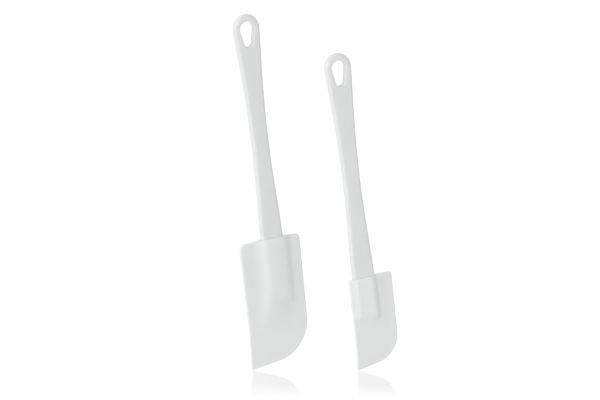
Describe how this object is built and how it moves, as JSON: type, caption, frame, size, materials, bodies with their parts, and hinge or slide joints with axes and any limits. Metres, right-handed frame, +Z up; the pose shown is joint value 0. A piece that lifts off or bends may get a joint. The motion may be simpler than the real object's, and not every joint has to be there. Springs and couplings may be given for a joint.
{
  "type": "rubber spatula set",
  "caption": "Set of white kitchen spatulas, large and small, each a flat waisted handle with a hanging eye and a push-on rubber head: thin blade, thick socket, rounded corner.",
  "frame": {"origin": "top of the large spatula's hanging eye, where a hook carries it, half way through the handle's thickness", "axes": "+Z up along the large spatula from blade tip to eye; the front faces look towards -Y; +X runs to the right, towards the small spatula and the rounded blade corners"},
  "size_m": [0.089, 0.0802, 0.2607],
  "materials": {
    "handle_plastic": "moulded white plastic, soft gloss",
    "head_rubber": "moulded white rubber, satin"
  },
  "bodies": {
    "large_handle": {"large_handle": "handle_plastic"},
    "large_head": {"large_head": "head_rubber"},
    "small_handle": {"small_handle": "handle_plastic"},
    "small_head": {"small_head": "head_rubber"}
  },
  "joints": [
    {"name": "large_head_pull", "type": "slide", "parent": "large_handle", "child": "large_head", "axis": [0, 0, -1], "range_m": [0, 0.04]},
    {"name": "small_spatula_lift", "type": "slide", "parent": "large_handle", "child": "small_handle", "axis": [0, 0, 1], "range_m": [0, 0.25]},
    {"name": "small_head_pull", "type": "slide", "parent": "small_handle", "child": "small_head", "axis": [0, 0, -1], "range_m": [0, 0.04]}
  ]
}
